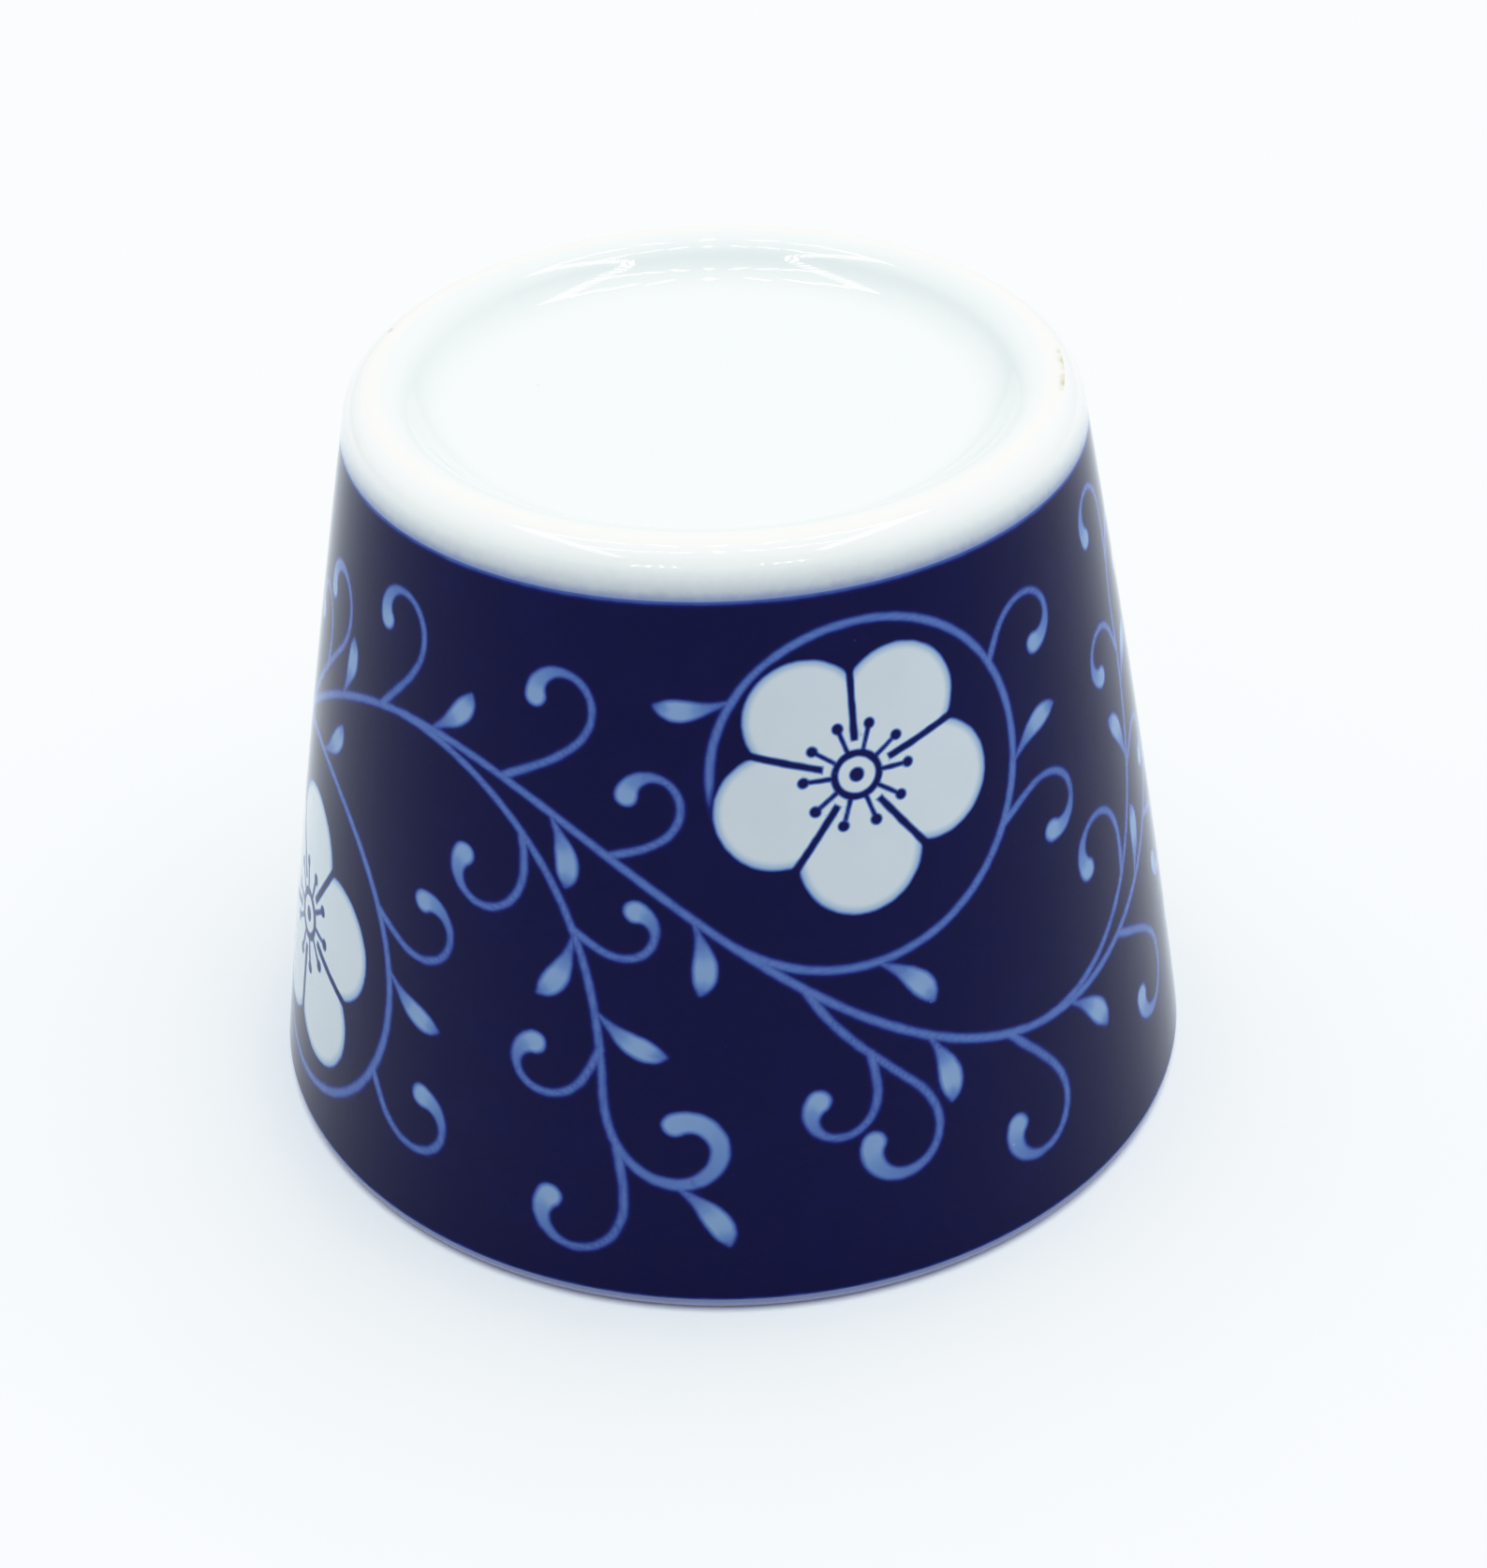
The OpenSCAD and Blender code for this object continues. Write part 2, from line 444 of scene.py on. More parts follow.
def stroke_fields(strokes):
    """Distance of each grid point from the strokes' edges, below 0 inside, and the nearest one's width."""
    field = np.full((FINE_ROWS + 1, grid_columns), FAR)
    breadth = np.full_like(field, LINE_W)
    for xs, ys, widths in strokes:
        for x, y, w in zip(xs, ys, widths):
            reach = w / 2 + STROKE_MARGIN
            columns = np.arange(math.floor((x - reach) / pitch_x), math.ceil((x + reach) / pitch_x) + 1)
            low = max(0, math.floor((y - reach + tall / 2) / pitch_y))
            high = min(FINE_ROWS, math.ceil((y + reach + tall / 2) / pitch_y))
            rows = np.arange(low, high + 1)
            away = np.hypot((columns * pitch_x - x)[None, :], (grid_y[rows] - y)[:, None]) - w / 2
            spot = np.ix_(rows, columns % grid_columns)
            nearer = away < field[spot]
            field[spot] = np.where(nearer, away, field[spot])
            breadth[spot] = np.where(nearer, w, breadth[spot])
    return field, breadth


def folded(angle, reach, sector):
    """Lengths along and aside from the nearest spoke, where spokes stand in the middle of equal sectors."""
    fold = np.abs(angle % sector - sector / 2)
    return reach * np.cos(fold), reach * np.sin(fold)


def flower_fields(flowers):
    """Distance of each grid point from the flowers' outline, and from the dark lines in them."""
    outline = np.full((FINE_ROWS + 1, grid_columns), FAR)
    lines = outline.copy()
    sector = 2 * math.pi / PETALS
    for x, y, facing in flowers:
        dx = (grid_x - x + half) % period - half
        dx, dy = np.meshgrid(dx, (grid_y - y) * facing)
        reach = np.hypot(dx, dy)
        angle = np.arctan2(dx, dy)
        along, aside = folded(angle + sector / 2, reach, sector)
        petals = np.hypot(along - PETAL_AT, aside) - PETAL_R
        outline = np.minimum(outline, np.minimum(petals, reach - BLOOM_CORE))

        seam_along = along * math.cos(sector / 2) + aside * math.sin(sector / 2)
        seam_aside = np.abs(along * math.sin(sector / 2) - aside * math.cos(sector / 2))
        seam = np.maximum(seam_aside - SEAM_HALF, SEAM_START - seam_along)
        ring = np.abs(reach - RING_R) - RING_HALF
        along, aside = folded(angle, reach, sector / 2)
        threads = np.maximum(aside - THREAD_HALF, np.abs(along - THREAD_AT) - THREAD_REACH)
        dots = np.hypot(along - DOT_AT, aside) - DOT_R
        drawn = np.minimum.reduce([seam, ring, threads, dots, reach - HEART_R])
        lines = np.minimum(lines, np.where(reach < PETAL_AT + PETAL_R + FLOWER_MARGIN, drawn, FAR))
    return outline, lines


# The cobalt wall's mesh: triangles that are finest at the scroll's edges, closed by a plain underside

# Quarters of the wall in one repeat, each of which is meshed by itself
QUARTERS = 2
# Steps of the grid that the mesh keeps, and how near an edge of the scroll each finer step begins
SPARSE = 8
ROUGH, ROUGH_WITHIN = 4, 1.1
CLOSE, CLOSE_WITHIN = 2, 0.48
FINE_WITHIN = 0.24
# Dark lines count only inside a flower, or this near it
LINES_WITHIN = 0.5
# The triangles fill the points' whole hull, and points nearer than this part of a grid step are one
WHOLE_HULL = 0
SAME_POINT = 1e-6
# In the map: the gap round each quarter, the share of its height that it fills, and the underside's strip
UV_GAP = 0.006
UV_FILL = 0.98
UNDER_V, UNDER_TALL = 0.991, 0.008
UNDER_ROWS = 9

# Grid columns for each column of the rings that the other pieces meet
ring_step = FINE_COLUMNS // COLUMNS


def kept_points(vine, bloom, lines):
    """Which grid points the mesh keeps."""
    inked = np.where(bloom < LINES_WITHIN, np.abs(lines), FAR)
    edge = np.minimum.reduce([np.abs(vine), np.abs(bloom), inked])
    row, column = np.meshgrid(np.arange(FINE_ROWS + 1), np.arange(grid_columns), indexing="ij")

    def every(step):
        return (row % step == 0) & (column % step == 0)

    rough = every(ROUGH) & (edge < ROUGH_WITHIN)
    close = every(CLOSE) & (edge < CLOSE_WITHIN)
    kept = every(SPARSE) | rough | close | (edge < FINE_WITHIN)
    ends = (row == 0) | (row == FINE_ROWS)
    return np.where(ends, column % ring_step == 0, kept)


def quarter_triangles(kept):
    """Triangles over the kept points of a quarter of the wall, as rows and columns of their corners."""
    rows, columns = np.nonzero(kept)
    points = [Vector((float(c), float(r))) for r, c in zip(rows, columns)]
    _, _, faces, *_ = delaunay_2d_cdt(points, [], [], WHOLE_HULL, SAME_POINT)
    return [[(rows[i], columns[i]) for i in face] for face in faces]


class Wall:
    """The cobalt wall under construction."""

    FIELDS = ("vine", "breadth", "bloom", "lines")
    BARE = (FAR, LINE_W, FAR, FAR)

    def __init__(self):
        scroll = Scroll()
        self.grids = (*stroke_fields(scroll.strokes), *flower_fields(scroll.flowers))
        self.heights = np.interp(np.linspace(0, band_tau[-1], FINE_ROWS + 1), band_tau, band_z)
        self.index = {}
        self.places, self.normals, self.fields = [], [], []
        self.faces, self.corners = [], []
        self.add_outside()
        self.add_underside()

    def add_point(self, radius, z, angle, normal, fields):
        out, rise = normal
        self.places.append((radius * math.cos(angle), radius * math.sin(angle), z))
        self.normals.append((out * math.cos(angle), out * math.sin(angle), rise))
        self.fields.append(fields)
        return len(self.places) - 1

    def grid_point(self, row, column):
        key = (row, column % FINE_COLUMNS)
        if key not in self.index:
            z = self.heights[row]
            angle = 2 * math.pi * column / FINE_COLUMNS
            fields = [grid[row, column % grid_columns] for grid in self.grids]
            self.index[key] = self.add_point(side_curve(z), z, angle, side_normal(z), fields)
        return self.index[key]

    def add_outside(self):
        vine, _, bloom, lines = self.grids
        kept = kept_points(vine, bloom, lines)
        wrapped = np.hstack([kept, kept[:, :1]])
        wide = grid_columns // QUARTERS
        for part in range(QUARTERS):
            triangles = quarter_triangles(wrapped[:, part * wide:(part + 1) * wide + 1])
            for repeat in range(REPEATS):
                first = repeat * grid_columns + part * wide
                for triangle in triangles:
                    self.faces.append([self.grid_point(r, first + c) for r, c in triangle])
                    for r, c in triangle:
                        u = (repeat + UV_GAP + (1 - 2 * UV_GAP) * c / wide) / REPEATS
                        v = (part + UV_GAP + (UV_FILL - 2 * UV_GAP) * r / FINE_ROWS) / QUARTERS
                        self.corners.append((u, v))

    def grid_ring(self, row):
        return [self.grid_point(row, j * ring_step) for j in range(COLUMNS)]

    def under_ring(self, radius, z):
        angles = [2 * math.pi * j / COLUMNS for j in range(COLUMNS)]
        return [self.add_point(radius, z, angle, (-1.0, 0.0), self.BARE) for angle in angles]

    def add_underside(self):
        under = stretch(band_top_s, lip_out_s, GLAZE_T)
        under = under[np.linspace(0, len(under) - 1, UNDER_ROWS).astype(int)]
        rings = [self.grid_ring(FINE_ROWS), *(self.under_ring(r, z) for r, z in under), self.grid_ring(0)]
        for i in range(len(rings) - 1):
            high, low = rings[i], rings[i + 1]
            v0, v1 = (UNDER_V + UNDER_TALL * n / (len(rings) - 1) for n in (i, i + 1))
            for j in range(COLUMNS):
                k = (j + 1) % COLUMNS
                u0, u1 = j / COLUMNS, (j + 1) / COLUMNS
                self.faces.append([high[j], high[k], low[k], low[j]])
                self.corners.extend([(u0, v0), (u1, v0), (u1, v1), (u0, v1)])

    def mesh(self, name):
        mesh = smooth_mesh(name, self.places, self.faces, self.corners)
        fields = np.array(self.fields, np.float32)
        for k, field in enumerate(self.FIELDS):
            layer = mesh.attributes.new(field, "FLOAT", "POINT")
            layer.data.foreach_set("value", fields[:, k].copy())
        mesh.normals_split_custom_set_from_vertices(self.normals)
        return mesh


# Materials

def linear(*screen):
    """A colour seen on a screen, 0 to 255, as the shaders take it."""
    levels = (c / 255 for c in screen)
    return (*(v / 12.92 if v <= 0.04045 else ((v + 0.055) / 1.055) ** 2.4 for v in levels), 1.0)


class Shader:
    """A node material under construction."""

    def __init__(self, name):
        self.material = bpy.data.materials.new(name)
        self.material.use_nodes = True
        self.tree = self.material.node_tree
        self.tree.nodes.clear()
        self.surface = self.node("ShaderNodeBsdfPrincipled")
        out = self.node("ShaderNodeOutputMaterial")
        self.tree.links.new(self.surface.outputs[0], out.inputs["Surface"])

    def node(self, kind, inputs=None, **settings):
        made = self.tree.nodes.new(kind)
        for name, value in settings.items():
            setattr(made, name, value)
        for name, value in (inputs or {}).items():
            self.set(made, name, value)
        return made

    def set(self, node, name, value):
        if isinstance(value, bpy.types.NodeSocket):
            self.tree.links.new(value, node.inputs[name])
        else:
            node.inputs[name].default_value = value

    def place(self):
        return self.node("ShaderNodeTexCoord").outputs["Object"]

    def height(self):
        return self.node("ShaderNodeSeparateXYZ", {0: self.place()}).outputs["Z"]

    def from_axis(self):
        """Distance from the cup's axis."""
        flat = self.node("ShaderNodeVectorMath", {0: self.place(), 1: (1, 1, 0)}, operation="MULTIPLY")
        return self.node("ShaderNodeVectorMath", {0: flat.outputs[0]}, operation="LENGTH").outputs["Value"]

    def azimuth(self):
        """Angle round the cup's axis from +X, in radians."""
        place = self.node("ShaderNodeSeparateXYZ", {0: self.place()}).outputs
        return self.math("ARCTAN2", place["Y"], place["X"])

    def attribute(self, name):
        return self.node("ShaderNodeAttribute", attribute_name=name).outputs["Fac"]

    def noise(self, size, detail=2.0, rough=0.5):
        """Noise whose features are about that size, in metres."""
        inputs = {"Vector": self.place(), "Scale": 1 / size, "Detail": detail, "Roughness": rough}
        return self.node("ShaderNodeTexNoise", inputs).outputs["Fac"]

    def jitter(self, size, reach, detail=2.0):
        """Noise about zero, with reach from its lowest to its highest."""
        return self.math("MULTIPLY", self.math("SUBTRACT", self.noise(size, detail), 0.5), reach)

    def specks(self, apart, chance, edge, strength):
        """Share of scattered specks: how far apart they are, which show, their edge, and the most share."""
        cells = self.node("ShaderNodeTexVoronoi", {"Vector": self.place(), "Scale": 1 / apart}).outputs
        drawn = self.node("ShaderNodeSeparateColor", {0: cells["Color"]}).outputs[0]
        spots = self.ramp(cells["Distance"], *edge)
        return self.math("MULTIPLY", spots, self.ramp(drawn, *chance), strength)

    def math(self, operation, value, *others):
        """A value taken through one operation, with each of the others in turn."""
        for other in others or [0.0]:
            value = self.node("ShaderNodeMath", {0: value, 1: other}, operation=operation).outputs[0]
        return value

    def ramp(self, value, low, high, to_low=0.0, to_high=1.0, smooth=True):
        kind = "SMOOTHSTEP" if smooth else "LINEAR"
        inputs = {"Value": value, "From Min": low, "From Max": high, "To Min": to_low, "To Max": to_high}
        return self.node("ShaderNodeMapRange", inputs, interpolation_type=kind).outputs["Result"]

    def colours(self, value, stops):
        made = self.node("ShaderNodeValToRGB", {"Fac": value})
        band = made.color_ramp
        while len(band.elements) < len(stops):
            band.elements.new(1.0)
        for element, (at, colour) in zip(band.elements, stops):
            element.position = at
            element.color = colour
        return made.outputs["Color"]

    def mix(self, share, a, b):
        return self.node("ShaderNodeMix", {0: share, 6: a, 7: b}, data_type="RGBA").outputs[2]

    def bump(self, height, distance):
        return self.node("ShaderNodeBump", {"Height": height, "Distance": distance}).outputs["Normal"]


# Tones of the cobalt from its darkest to the bare white, by how pale the brush left it
COBALT_TONES = [
    (0.0, linear(7, 6, 60)),
    (0.16, linear(18, 23, 100)),
    (0.34, linear(55, 76, 150)),
    (0.48, linear(82, 109, 174)),
    (0.65, linear(104, 137, 188)),
    (0.8, linear(158, 181, 205)),
    (1.0, linear(206, 213, 218)),
]
LINE_TONE, TIP_TONE = 0.5, 0.71
PETAL_RIM_TONE, DARK_LINE_TONE = 0.74, 0.04
# Distances from a motif's edge, in millimetres and below 0 inside it, between which its tone changes
STROKE_EDGE = 0.3, -0.36
STROKE_OFF_FLOWER = -0.3, 0.8
PETAL_EDGE = 0.22, -0.2
PETAL_RIM = 0.0, -0.9
DARK_LINE_EDGE = -0.16, 0.2
# How far the band pales at its top and bottom edges, and to what tone
TOP_FADE, TOP_TONE = 0.55 * MM, 0.42
LIP_FADE, LIP_TONE = 0.3 * MM, 0.32


def cobalt_material():
    """Glossy clear glaze over cobalt, paler where the scroll was held back."""
    s = Shader("cobalt_scroll")
    wobble = s.jitter(1.2 * MM, 0.16)

    def across(field, low, high, *tones):
        """A share, or one tone to another, between two distances from a motif's uneven edge."""
        return s.ramp(s.math("ADD", s.attribute(field), wobble), low, high, *tones)

    stroke_tone = s.ramp(s.attribute("breadth"), LINE_W, LINE_W + TIP_W, LINE_TONE, TIP_TONE)
    off_flowers = s.ramp(s.attribute("bloom"), *STROKE_OFF_FLOWER)
    vine = s.math("MULTIPLY", across("vine", *STROKE_EDGE), stroke_tone, off_flowers)
    petal_tone = s.ramp(s.attribute("bloom"), *PETAL_RIM, PETAL_RIM_TONE, 1.0)
    off_lines = across("lines", *DARK_LINE_EDGE, DARK_LINE_TONE, 1.0)
    petal = s.math("MULTIPLY", across("bloom", *PETAL_EDGE), petal_tone, off_lines)
    z = s.math("ADD", s.height(), s.math("MULTIPLY", wobble, MM))
    top = s.ramp(z, band_top_z - TOP_FADE, band_top_z, 0.0, TOP_TONE)
    lip = s.ramp(z, lip_line_z + LIP_FADE, lip_line_z, 0.0, LIP_TONE)
    pale = s.math("MAXIMUM", vine, petal, top, lip)
    specks = s.specks(2.6 * MM, (0.55, 0.75), (0.05, 0.02), 0.2)
    mottle = s.jitter(5 * MM, 0.07, 4.0)
    s.set(s.surface, "Base Color", s.colours(s.math("ADD", pale, specks, mottle), COBALT_TONES))
    s.set(s.surface, "Roughness", s.ramp(s.noise(3 * MM, 3.0), 0.3, 0.7, 0.05, 0.09))
    s.set(s.surface, "IOR", 1.17)
    s.set(s.surface, "Normal", s.bump(s.noise(7 * MM, 1.0), 0.02 * MM))
    return s.material


# The white glaze's two tones, in the recess and inside the cup, and on the shoulder
PLAIN_WHITES = linear(232, 239, 237), linear(236, 242, 239)
SHOULDER_WHITES = linear(241, 244, 241), linear(244, 246, 243)
# How far above the edge of the blue the shoulder greys, with painted shade and a tint of pooled glaze, and
# the blue bleeds, how far below it the bleeding is full, how ragged both are, and the share of each at the
# edge
SHADE_POOL_H, BLEED_H, BLEED_FULL = 2.55 * MM, 0.8 * MM, 0.1 * MM
RAGGED = 0.3 * MM
SHADE_POOLED, BLED = 0.86, 0.7


def glaze_material(name, whites, border=False):
    """White porcelain under clear glaze, into which the blue bleeds where the two meet at a border, and which
    is greyed there by painted shade and a tint of pooled glaze.
    """
    s = Shader(name)
    colour = s.mix(s.noise(6 * MM, 3.0), *whites)
    if border:
        above = s.math("ADD", s.height(), s.jitter(0.8 * MM, RAGGED))
        # Painted shade: the shoulder greys towards the blue where it turns down from the light, mixed with a
        # tint of pooled glaze
        shade_pool = s.ramp(above, band_top_z + SHADE_POOL_H, band_top_z, 0.0, SHADE_POOLED)
        bleed = s.ramp(above, band_top_z + BLEED_H, band_top_z - BLEED_FULL, 0.0, BLED)
        colour = s.mix(shade_pool, colour, linear(162, 170, 183))
        colour = s.mix(bleed, colour, linear(84, 108, 172))
    specks = s.specks(7 * MM, (0.8, 0.85), (0.022, 0.012), 0.35)
    s.set(s.surface, "Base Color", s.mix(specks, colour, linear(120, 110, 100)))
    s.set(s.surface, "Roughness", s.ramp(s.noise(3 * MM, 3.0), 0.3, 0.7, 0.04, 0.07))
    s.set(s.surface, "IOR", 1.45)
    s.set(s.surface, "Normal", s.bump(s.noise(6 * MM, 1.0), 0.02 * MM))
    return s.material


# Middle and half width, as angles round the cup, of the brown marks where the glaze meets the bare crest
STAINS = [(math.radians(-4.2), math.radians(8.5)), (math.radians(161.5), math.radians(1.2))]
# Share of a mark's half width where it begins to fade
STAIN_FULL = 0.7
# Distances from the crest's outer edge over which the marks appear
STAIN_FROM, STAIN_TO = 0.7 * MM, 0.1 * MM
# Distances from the crest's inner edge over which thin glaze gives way to bare porcelain
THIN_FROM, THIN_TO = 0.2 * MM, 1.3 * MM
# How far the glaze's gloss runs onto the crest from its inner and its outer edge
GLOSS_IN, GLOSS_OUT = 0.9 * MM, 0.7 * MM


def porcelain_material():
    """Bare cream porcelain on the foot's crest, and a thin blue-tinged glaze at the lip."""
    s = Shader("porcelain_bare")
    out = s.from_axis()
    cream = s.mix(s.noise(1.5 * MM, 4.0), linear(246, 243, 230), linear(248, 245, 234))
    cream = s.mix(s.specks(3.2 * MM, (0.86, 0.9), (0.08, 0.02), 0.5), cream, linear(190, 172, 140))
    bare = s.ramp(out, bare_in_r + THIN_FROM, bare_in_r + THIN_TO)
    cream = s.mix(bare, linear(233, 239, 237), cream)
    edge = s.ramp(out, bare_out_r - STAIN_FROM, bare_out_r - STAIN_TO)
    broken = s.math("MULTIPLY", edge, s.ramp(s.noise(1.8 * MM, 4.0, 0.6), 0.36, 0.66, 0.1, 0.7))
    for middle, reach in STAINS:
        away = s.math("ABSOLUTE", s.math("SUBTRACT", s.azimuth(), middle))
        stain = s.math("MULTIPLY", broken, s.ramp(away, reach, reach * STAIN_FULL))
        cream = s.mix(stain, cream, linear(168, 144, 106))
    lip = s.mix(s.ramp(s.height(), 0.0, lip_line_z), linear(168, 172, 206), linear(124, 132, 172))
    at_lip = s.math("LESS_THAN", s.height(), (lip_line_z + band_top_z) / 2)
    s.set(s.surface, "Base Color", s.mix(at_lip, cream, lip))
    from_in = s.ramp(out, bare_in_r, bare_in_r + GLOSS_IN)
    from_out = s.ramp(out, bare_out_r, bare_out_r - GLOSS_OUT)
    dry = s.math("MULTIPLY", from_in, from_out)
    s.set(s.surface, "Roughness", s.ramp(dry, 0.0, 1.0, 0.1, 0.42, smooth=False))
    s.set(s.surface, "IOR", 1.3)
    s.set(s.surface, "Normal", s.bump(s.noise(0.25 * MM, 3.0), 0.006 * MM))
    return s.material


def floor_material():
    """Plain white paper."""
    s = Shader("studio_floor")
    paper = s.mix(s.noise(20 * MM, 3.0), linear(240, 242, 245), linear(243, 245, 248))
    s.set(s.surface, "Base Color", paper)
    s.set(s.surface, "Roughness", 0.7)
    s.set(s.surface, "IOR", 1.3)
    s.set(s.surface, "Normal", s.bump(s.noise(0.6 * MM, 2.0), 0.01 * MM))
    return s.material


# The cup's pieces

plain = glaze_material("white_glaze", PLAIN_WHITES)
bordered = glaze_material("white_glaze_border", SHOULDER_WHITES, border=True)
body_loop = np.vstack([
    stretch(0, bare_in_s, GLAZE_T),
    stretch(bare_in_s, bare_out_s),
    stretch(bare_out_s, lip_out_s, GLAZE_T),
    stretch(lip_out_s, lip_in_s),
    stretch(lip_in_s, end_s, GLAZE_T),
])
body = lathe("body_porcelain", body_loop)
wall = Wall().mesh("wall_cobalt")
shoulder = lathe("shoulder_white", skin_loop(bare_out_s, band_top_s))
base = lathe("base_white", skin_loop(0, bare_in_s))
inside = lathe("inside_white", skin_loop(lip_in_s, end_s))
new_piece(body, porcelain_material(), "porcelain_body")
new_piece(wall, cobalt_material(), "cobalt_band")
new_piece(shoulder, bordered, "shoulder_glaze")
new_piece(base, plain, "base_glaze")
new_piece(inside, plain, "inner_glaze")

# The studio, in metres

FLOOR_SIDE = 60.0
LIGHT_COLOUR = (0.92, 0.975, 1.0)
BACKDROP_COLOUR = (1.06, 1.13, 1.18, 1.0)
# The sky's strength low down and overhead, and the Z of the directions between which it changes
SKY_SIDE, SKY_TOP = 0.45, 1.0
SKY_LOW, SKY_HIGH = 0.1, 0.55
# Share of it that is left towards the viewer, and the Y of the directions between which that changes
SKY_FRONT = 0.37
FRONT_FULL, FRONT_NONE = -0.8, 0.1
OVERHEAD_STRENGTH, OVERHEAD_ANGLE, OVERHEAD_TILT = 1.95, math.radians(70), math.radians(7)
# Rows of small lamps: two across and one at each side, all overhead, and one before the cup with a gap
LAMP_WIDE, LAMP_LONG = 0.032, 0.14
LAMP_POWER = 0.3
LAMPS_HIGH = 1.2
CROSS_ROWS = [-0.14, 0.35]
CROSS_LAMPS, CROSS_PITCH = range(-4, 5), 0.12
SIDE_ROWS = [-0.53, 0.53]
SIDE_LAMPS, SIDE_PITCH = range(-7, 5), 0.088
FRONT_ROW = -1.1, 0.83
FRONT_LAMPS, FRONT_PITCH = [-3, -4, -5, -6, 3, 4, 5, 6], 0.088
# The tone curve: up to where it is straight, the tone that it bends towards, and the light at its end
TONE_STRAIGHT, TONE_TOP, TONE_WHITE = 0.75, 1.035, 1.6
TONE_STEPS = 16
# The curve that holds for all three colours, among the curves of a mapping
ALL_COLOURS = 3


def studio_floor():
    mesh = bpy.data.meshes.new("studio_floor")
    h = FLOOR_SIDE / 2
    mesh.from_pydata([(-h, -h, 0), (h, -h, 0), (h, h, 0), (-h, h, 0)], [], [(0, 1, 2, 3)])
    floor = bpy.data.objects.new("studio_floor", mesh)
    bpy.context.scene.collection.objects.link(floor)
    mesh.materials.append(floor_material())


def studio_sky():
    """A soft sky, brightest overhead and dimmer towards the viewer, and a plain backdrop for the camera."""
    world = bpy.data.worlds.new("studio")
    world.use_nodes = True
    tree = world.node_tree
    tree.nodes.clear()

    def node(kind, *inputs, **settings):
        made = tree.nodes.new(kind)
        for name, value in settings.items():
            setattr(made, name, value)
        for socket, value in zip(made.inputs, inputs):
            if isinstance(value, bpy.types.NodeSocket):
                tree.links.new(value, socket)
            else:
                socket.default_value = value
        return made

    def step(*inputs):
        return node("ShaderNodeMapRange", *inputs, interpolation_type="SMOOTHSTEP").outputs["Result"]

    look = node("ShaderNodeSeparateXYZ", node("ShaderNodeTexCoord").outputs["Generated"]).outputs
    bright = step(look["Z"], SKY_LOW, SKY_HIGH, SKY_SIDE, SKY_TOP)
    front = step(look["Y"], FRONT_FULL, FRONT_NONE, SKY_FRONT, 1.0)
    bright = node("ShaderNodeMath", bright, front, operation="MULTIPLY").outputs[0]
    sky = node("ShaderNodeBackground", (*LIGHT_COLOUR, 1.0), bright).outputs[0]
    backdrop = node("ShaderNodeBackground", BACKDROP_COLOUR, 1.0).outputs[0]
    seen = node("ShaderNodeLightPath").outputs["Is Camera Ray"]
    shown = node("ShaderNodeMixShader", seen, sky, backdrop).outputs[0]
    node("ShaderNodeOutputWorld", shown)
    bpy.context.scene.world = world


def overhead_light():
    """A broad soft light from above and a little to the right, which the glaze doesn't mirror."""
    data = bpy.data.lights.new("overhead", "SUN")
    data.energy = OVERHEAD_STRENGTH
    data.angle = OVERHEAD_ANGLE
    data.color = LIGHT_COLOUR
    light = bpy.data.objects.new("overhead", data)
    light.rotation_euler = (0, OVERHEAD_TILT, 0)
    light.visible_glossy = False
    bpy.context.scene.collection.objects.link(light)


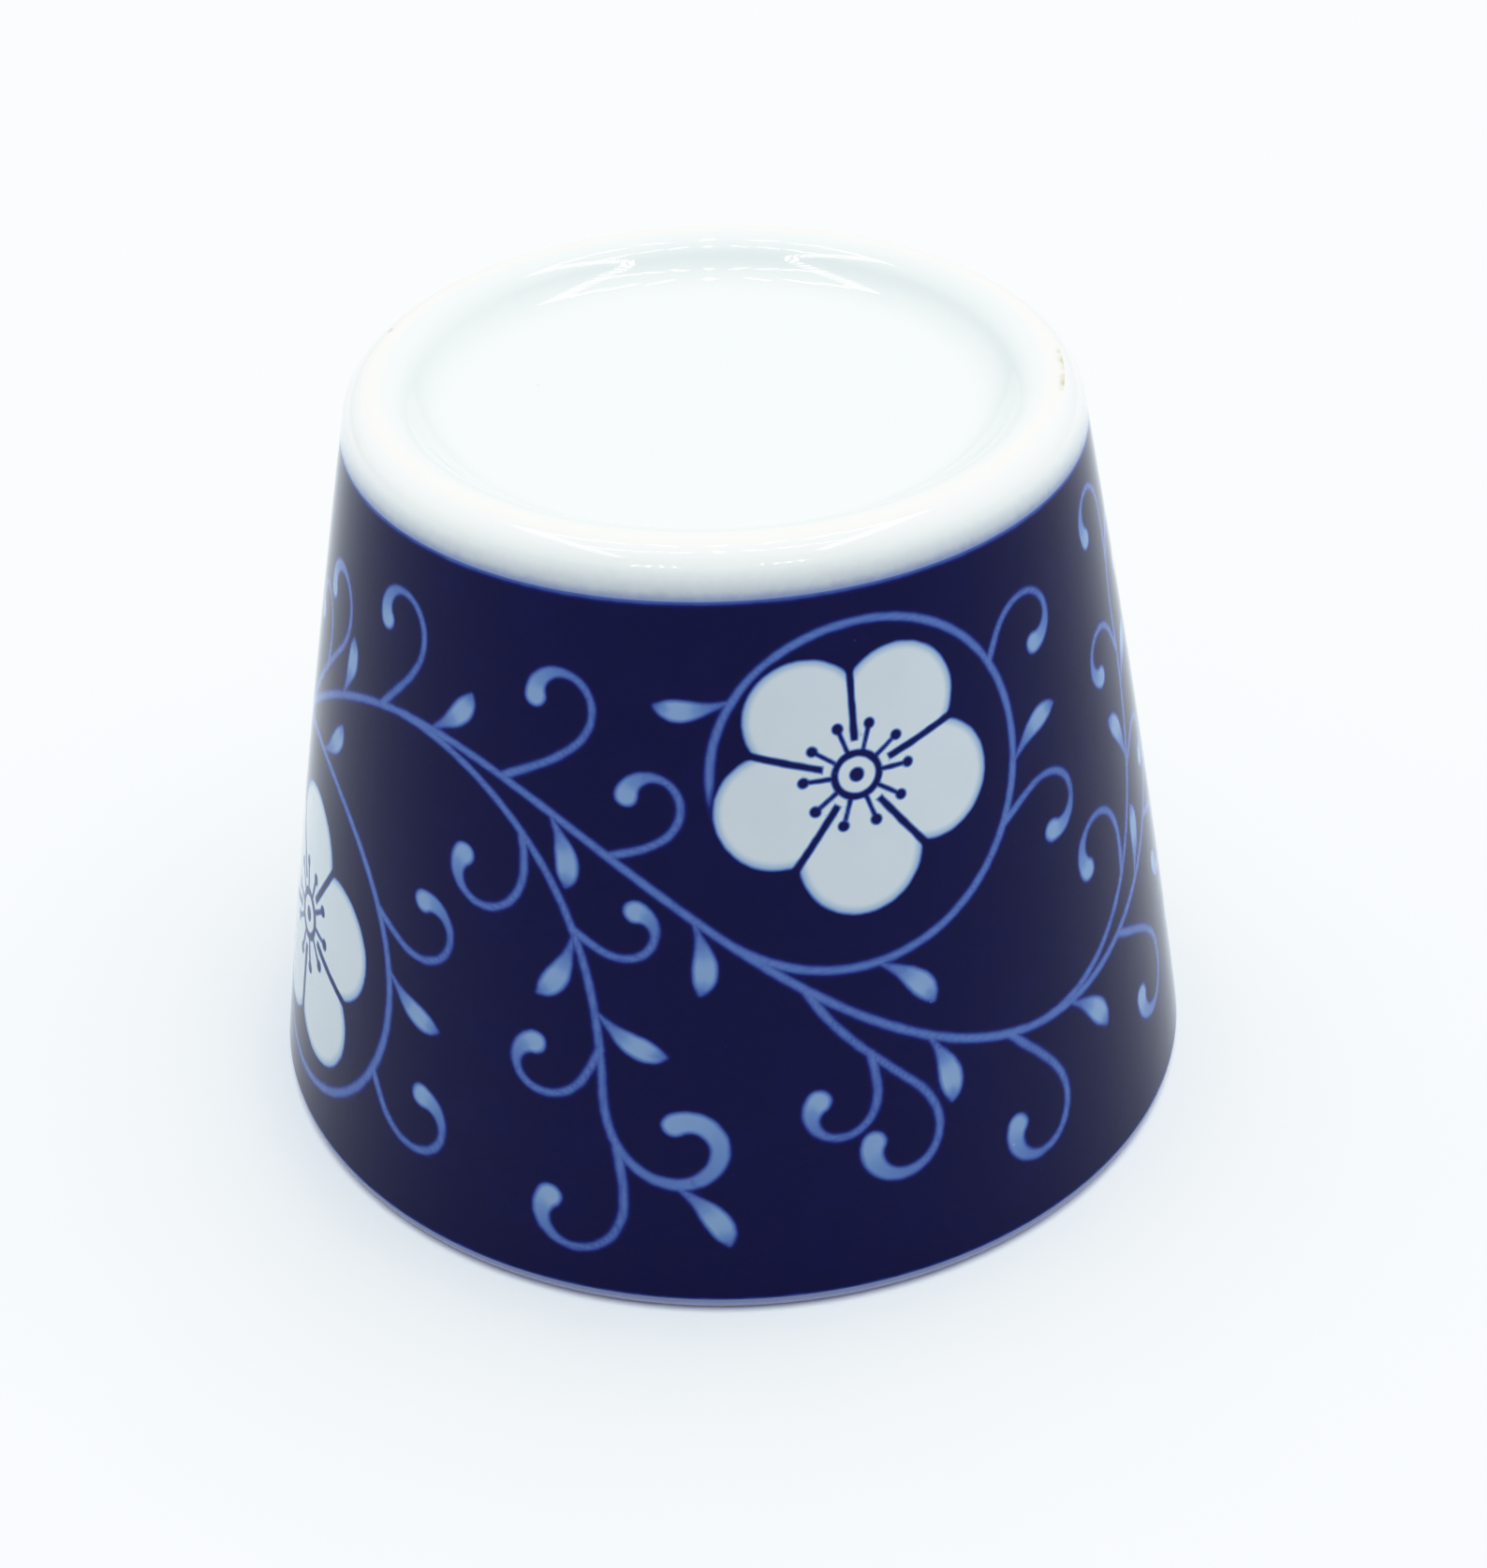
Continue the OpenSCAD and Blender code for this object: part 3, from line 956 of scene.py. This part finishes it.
def lamp_rows():
    """Small lamps overhead and before the cup, seen only as the dots and streaks that the glaze mirrors."""
    data = bpy.data.lights.new("row_lamp", "AREA")
    data.shape = "ELLIPSE"
    data.size, data.size_y = LAMP_WIDE, LAMP_LONG
    data.energy = LAMP_POWER
    places = [(n * CROSS_PITCH, y, LAMPS_HIGH) for y in CROSS_ROWS for n in CROSS_LAMPS]
    places += [(x, n * SIDE_PITCH, LAMPS_HIGH) for x in SIDE_ROWS for n in SIDE_LAMPS]
    places += [(n * FRONT_PITCH, *FRONT_ROW) for n in FRONT_LAMPS]
    foot = Vector((0, 0, crest_z))
    for n, place in enumerate(places):
        lamp = bpy.data.objects.new(f"row_lamp_{n}", data)
        lamp.location = place
        lamp.rotation_euler = (foot - lamp.location).to_track_quat("-Z", "Y").to_euler()
        lamp.visible_diffuse = False
        bpy.context.scene.collection.objects.link(lamp)


def tone_curve():
    """Straight up to the pale tones, then a soft shoulder that keeps the shading of the whites."""
    settings = bpy.context.scene.view_settings
    settings.view_transform = "Standard"
    settings.use_curve_mapping = True
    mapping = settings.curve_mapping
    mapping.white_level = (TONE_WHITE, TONE_WHITE, TONE_WHITE)
    room = TONE_TOP - TONE_STRAIGHT
    points = mapping.curves[ALL_COLOURS].points
    for n in range(1, TONE_STEPS):
        light = TONE_WHITE * n / TONE_STEPS
        over = max(0.0, light - TONE_STRAIGHT)
        shown = light - over + room * (1 - math.exp(-over / room))
        points.new(n / TONE_STEPS, min(1.0, shown))
    mapping.update()


studio_floor()
studio_sky()
overhead_light()
lamp_rows()
tone_curve()

# The camera, as measured in the photograph's frame

FRAME_PIXELS = 1674
FOCAL_PIXELS = 3090.3
CAMERA_AWAY = 269.8 * MM
ELEVATION = math.radians(38.93)
PAN, TILT, ROLL = math.radians(0.347), math.radians(4.165), math.radians(-1.862)
SENSOR_W = 36.0
CLIP_START = 0.01


def photo_camera():
    data = bpy.data.cameras.new("photo_camera")
    data.sensor_width = SENSOR_W
    data.lens = FOCAL_PIXELS / FRAME_PIXELS * SENSOR_W
    data.clip_start, data.clip_end = CLIP_START, 2 * FLOOR_SIDE
    camera = bpy.data.objects.new("photo_camera", data)
    bpy.context.scene.collection.objects.link(camera)
    forward = Vector((0, math.cos(ELEVATION), -math.sin(ELEVATION)))
    right = Vector((1, 0, 0))
    up = right.cross(forward)
    aim = (forward * math.cos(PAN) + right * math.sin(PAN)) * math.cos(TILT) + up * math.sin(TILT)
    level = aim.cross(up).normalized()
    above = level.cross(aim)
    side = level * math.cos(ROLL) + above * math.sin(ROLL)
    top = above * math.cos(ROLL) - level * math.sin(ROLL)
    axes = Matrix((side, top, -aim)).transposed().to_4x4()
    camera.matrix_world = Matrix.Translation(forward * -CAMERA_AWAY) @ axes
    bpy.context.scene.camera = camera


photo_camera()
